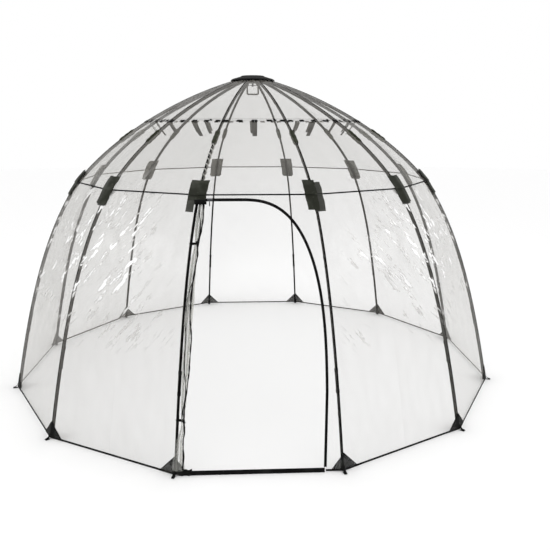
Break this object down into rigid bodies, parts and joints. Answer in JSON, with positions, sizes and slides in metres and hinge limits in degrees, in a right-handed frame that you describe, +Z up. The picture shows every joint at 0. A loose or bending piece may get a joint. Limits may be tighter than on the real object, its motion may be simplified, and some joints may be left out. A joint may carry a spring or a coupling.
{
  "type": "garden bubble tent",
  "caption": "Free-standing clear film dome tent with hinged ribs that fold up like an umbrella, a zipped arched doorway and a central hub.",
  "frame": {"origin": "on the ground at the middle of the tent", "axes": "+Z up; the doorway faces -Y; +X to the right of someone who looks in through the doorway"},
  "size_m": [3.5358, 3.5402, 2.2615],
  "materials": {
    "clear_film": "clear glossy film with a soft crinkle",
    "rib_rods": "fibreglass rods in black sleeves, satin black end fittings",
    "black_plastic": "satin moulded",
    "ring_wire": "bare wire",
    "lamp_loop": "translucent satin",
    "black_webbing": "woven black tape and webbing",
    "pad_fabric": "coated dark olive-grey cloth",
    "zip_fittings": "painted die-cast"
  },
  "bodies": {
    "hub": {"top_cap": "black_plastic", "hub_upper_plate": "black_plastic", "hub_lower_plate": "black_plastic", "crown_ring": "ring_wire"},
    "upper_rib_01": {"upper_rib_01": "rib_rods", "roof_gore_01": "clear_film"},
    "leg_01": {"leg_01": "rib_rods", "wall_gore_01": "clear_film"},
    "upper_rib_02": {"upper_rib_02": "rib_rods", "roof_gore_02": "clear_film"},
    "leg_02": {"leg_02": "rib_rods", "wall_gore_02": "clear_film"},
    "upper_rib_03": {"upper_rib_03": "rib_rods", "roof_gore_03": "clear_film"},
    "leg_03": {"leg_03": "rib_rods", "wall_gore_03": "clear_film"},
    "upper_rib_04": {"upper_rib_04": "rib_rods", "roof_gore_04": "clear_film"},
    "leg_04": {"leg_04": "rib_rods", "wall_gore_04": "clear_film"},
    "upper_rib_05": {"upper_rib_05": "rib_rods", "roof_gore_05": "clear_film"},
    "leg_05": {"leg_05": "rib_rods", "wall_gore_05": "clear_film"},
    "upper_rib_06": {"upper_rib_06": "rib_rods", "roof_gore_06": "clear_film"},
    "leg_06": {"leg_06": "rib_rods", "wall_gore_06": "clear_film"},
    "upper_rib_07": {"upper_rib_07": "rib_rods", "roof_gore_07": "clear_film"},
    "leg_07": {"leg_07": "rib_rods", "wall_gore_07": "clear_film"},
    "upper_rib_08": {"upper_rib_08": "rib_rods", "roof_gore_08": "clear_film"},
    "leg_08": {"leg_08": "rib_rods", "wall_gore_08": "clear_film"},
    "upper_rib_09": {"upper_rib_09": "rib_rods", "roof_gore_09": "clear_film"},
    "leg_09": {"leg_09": "rib_rods", "wall_gore_09": "clear_film"},
    "upper_rib_10": {"upper_rib_10": "rib_rods", "roof_gore_10": "clear_film"},
    "leg_10": {"leg_10": "rib_rods", "wall_gore_10": "clear_film"},
    "upper_rib_11": {"upper_rib_11": "rib_rods", "roof_gore_11": "clear_film"},
    "leg_11": {"leg_11": "rib_rods", "wall_gore_11": "clear_film"},
    "upper_rib_12": {"upper_rib_12": "rib_rods", "roof_gore_12": "clear_film"},
    "leg_12": {"leg_12": "rib_rods", "wall_gore_12": "clear_film", "door_curtain": "clear_film", "zip_tape": "black_webbing", "door_sill": "black_webbing", "door_tie_upper": "black_webbing", "door_tie_lower": "black_webbing"},
    "lamp_loop": {"lamp_loop": "lamp_loop"},
    "zip_slider": {"zip_slider": "zip_fittings"},
    "zip_pull": {"zip_pull": "zip_fittings"}
  },
  "joints": [
    {"name": "rib_fold_01", "type": "hinge", "parent": "hub", "child": "upper_rib_01", "pos_m": [0.022, -0.0821, 2.225], "axis": [0.9659, 0.2588, 0], "range_deg": [0, 54], "deforming": ["roof_gore_01"]},
    {"name": "rib_fold_02", "type": "hinge", "parent": "hub", "child": "upper_rib_02", "pos_m": [0.0601, -0.0601, 2.225], "axis": [0.7071, 0.7071, 0], "range_deg": [0, 54], "deforming": ["roof_gore_02"]},
    {"name": "rib_fold_03", "type": "hinge", "parent": "hub", "child": "upper_rib_03", "pos_m": [0.0821, -0.022, 2.225], "axis": [0.2588, 0.9659, 0], "range_deg": [0, 54], "deforming": ["roof_gore_03"]},
    {"name": "rib_fold_04", "type": "hinge", "parent": "hub", "child": "upper_rib_04", "pos_m": [0.0821, 0.022, 2.225], "axis": [-0.2588, 0.9659, 0], "range_deg": [0, 54], "deforming": ["roof_gore_04"]},
    {"name": "rib_fold_05", "type": "hinge", "parent": "hub", "child": "upper_rib_05", "pos_m": [0.0601, 0.0601, 2.225], "axis": [-0.7071, 0.7071, 0], "range_deg": [0, 54], "deforming": ["roof_gore_05"]},
    {"name": "rib_fold_06", "type": "hinge", "parent": "hub", "child": "upper_rib_06", "pos_m": [0.022, 0.0821, 2.225], "axis": [-0.9659, 0.2588, 0], "range_deg": [0, 54], "deforming": ["roof_gore_06"]},
    {"name": "rib_fold_07", "type": "hinge", "parent": "hub", "child": "upper_rib_07", "pos_m": [-0.022, 0.0821, 2.225], "axis": [-0.9659, -0.2588, 0], "range_deg": [0, 54], "deforming": ["roof_gore_07"]},
    {"name": "rib_fold_08", "type": "hinge", "parent": "hub", "child": "upper_rib_08", "pos_m": [-0.0601, 0.0601, 2.225], "axis": [-0.7071, -0.7071, 0], "range_deg": [0, 54], "deforming": ["roof_gore_08"]},
    {"name": "rib_fold_09", "type": "hinge", "parent": "hub", "child": "upper_rib_09", "pos_m": [-0.0821, 0.022, 2.225], "axis": [-0.2588, -0.9659, 0], "range_deg": [0, 54], "deforming": ["roof_gore_09"]},
    {"name": "rib_fold_10", "type": "hinge", "parent": "hub", "child": "upper_rib_10", "pos_m": [-0.0821, -0.022, 2.225], "axis": [0.2588, -0.9659, 0], "range_deg": [0, 54], "deforming": ["roof_gore_10"]},
    {"name": "rib_fold_11", "type": "hinge", "parent": "hub", "child": "upper_rib_11", "pos_m": [-0.0601, -0.0601, 2.225], "axis": [0.7071, -0.7071, 0], "range_deg": [0, 54], "deforming": ["roof_gore_11"]},
    {"name": "rib_fold_12", "type": "hinge", "parent": "hub", "child": "upper_rib_12", "pos_m": [-0.022, -0.0821, 2.225], "axis": [0.9659, -0.2588, 0], "range_deg": [0, 54], "deforming": ["roof_gore_12"]},
    {"name": "knee_fold_01", "type": "hinge", "parent": "upper_rib_01", "child": "leg_01", "pos_m": [0.33569, -1.25281, 1.5], "axis": [0.9659, 0.2588, 0], "range_deg": [-35.64, 0], "deforming": ["wall_gore_01"]},
    {"name": "knee_fold_02", "type": "hinge", "parent": "upper_rib_02", "child": "leg_02", "pos_m": [0.91712, -0.91712, 1.5], "axis": [0.7071, 0.7071, 0], "range_deg": [-35.64, 0], "deforming": ["wall_gore_02"]},
    {"name": "knee_fold_03", "type": "hinge", "parent": "upper_rib_03", "child": "leg_03", "pos_m": [1.25281, -0.33569, 1.5], "axis": [0.2588, 0.9659, 0], "range_deg": [-35.64, 0], "deforming": ["wall_gore_03"]},
    {"name": "knee_fold_04", "type": "hinge", "parent": "upper_rib_04", "child": "leg_04", "pos_m": [1.25281, 0.33569, 1.5], "axis": [-0.2588, 0.9659, 0], "range_deg": [-35.64, 0], "deforming": ["wall_gore_04"]},
    {"name": "knee_fold_05", "type": "hinge", "parent": "upper_rib_05", "child": "leg_05", "pos_m": [0.91712, 0.91712, 1.5], "axis": [-0.7071, 0.7071, 0], "range_deg": [-35.64, 0], "deforming": ["wall_gore_05"]},
    {"name": "knee_fold_06", "type": "hinge", "parent": "upper_rib_06", "child": "leg_06", "pos_m": [0.33569, 1.25281, 1.5], "axis": [-0.9659, 0.2588, 0], "range_deg": [-35.64, 0], "deforming": ["wall_gore_06"]},
    {"name": "knee_fold_07", "type": "hinge", "parent": "upper_rib_07", "child": "leg_07", "pos_m": [-0.33569, 1.25281, 1.5], "axis": [-0.9659, -0.2588, 0], "range_deg": [-35.64, 0], "deforming": ["wall_gore_07"]},
    {"name": "knee_fold_08", "type": "hinge", "parent": "upper_rib_08", "child": "leg_08", "pos_m": [-0.91712, 0.91712, 1.5], "axis": [-0.7071, -0.7071, 0], "range_deg": [-35.64, 0], "deforming": ["wall_gore_08"]},
    {"name": "knee_fold_09", "type": "hinge", "parent": "upper_rib_09", "child": "leg_09", "pos_m": [-1.25281, 0.33569, 1.5], "axis": [-0.2588, -0.9659, 0], "range_deg": [-35.64, 0], "deforming": ["wall_gore_09"]},
    {"name": "knee_fold_10", "type": "hinge", "parent": "upper_rib_10", "child": "leg_10", "pos_m": [-1.25281, -0.33569, 1.5], "axis": [0.2588, -0.9659, 0], "range_deg": [-35.64, 0], "deforming": ["wall_gore_10"]},
    {"name": "knee_fold_11", "type": "hinge", "parent": "upper_rib_11", "child": "leg_11", "pos_m": [-0.91712, -0.91712, 1.5], "axis": [0.7071, -0.7071, 0], "range_deg": [-35.64, 0], "deforming": ["wall_gore_11"]},
    {"name": "knee_fold_12", "type": "hinge", "parent": "upper_rib_12", "child": "leg_12", "pos_m": [-0.33569, -1.25281, 1.5], "axis": [0.9659, -0.2588, 0], "range_deg": [-35.64, 0], "deforming": ["wall_gore_12", "zip_tape", "door_sill"]},
    {"name": "zip_slide", "type": "slide", "parent": "leg_12", "child": "zip_slider", "axis": [1, 0, 0], "range_m": [0, 0.2]},
    {"name": "zip_pull_swing", "type": "hinge", "parent": "zip_slider", "child": "zip_pull", "pos_m": [-0.27, -1.29604, 1.48538], "axis": [-1, 0, 0], "range_deg": [0, 150]},
    {"name": "lamp_loop_swing", "type": "hinge", "parent": "hub", "child": "lamp_loop", "pos_m": [0, 0, 2.192], "axis": [1, 0, 0], "range_deg": [-60, 60]}
  ],
  "couplings": [
    {"joint": "knee_fold_01", "follows": "rib_fold_01", "ratio": -0.66},
    {"joint": "rib_fold_02", "follows": "rib_fold_01", "ratio": 1},
    {"joint": "knee_fold_02", "follows": "rib_fold_01", "ratio": -0.66},
    {"joint": "rib_fold_03", "follows": "rib_fold_01", "ratio": 1},
    {"joint": "knee_fold_03", "follows": "rib_fold_01", "ratio": -0.66},
    {"joint": "rib_fold_04", "follows": "rib_fold_01", "ratio": 1},
    {"joint": "knee_fold_04", "follows": "rib_fold_01", "ratio": -0.66},
    {"joint": "rib_fold_05", "follows": "rib_fold_01", "ratio": 1},
    {"joint": "knee_fold_05", "follows": "rib_fold_01", "ratio": -0.66},
    {"joint": "rib_fold_06", "follows": "rib_fold_01", "ratio": 1},
    {"joint": "knee_fold_06", "follows": "rib_fold_01", "ratio": -0.66},
    {"joint": "rib_fold_07", "follows": "rib_fold_01", "ratio": 1},
    {"joint": "knee_fold_07", "follows": "rib_fold_01", "ratio": -0.66},
    {"joint": "rib_fold_08", "follows": "rib_fold_01", "ratio": 1},
    {"joint": "knee_fold_08", "follows": "rib_fold_01", "ratio": -0.66},
    {"joint": "rib_fold_09", "follows": "rib_fold_01", "ratio": 1},
    {"joint": "knee_fold_09", "follows": "rib_fold_01", "ratio": -0.66},
    {"joint": "rib_fold_10", "follows": "rib_fold_01", "ratio": 1},
    {"joint": "knee_fold_10", "follows": "rib_fold_01", "ratio": -0.66},
    {"joint": "rib_fold_11", "follows": "rib_fold_01", "ratio": 1},
    {"joint": "knee_fold_11", "follows": "rib_fold_01", "ratio": -0.66},
    {"joint": "rib_fold_12", "follows": "rib_fold_01", "ratio": 1},
    {"joint": "knee_fold_12", "follows": "rib_fold_01", "ratio": -0.66}
  ]
}
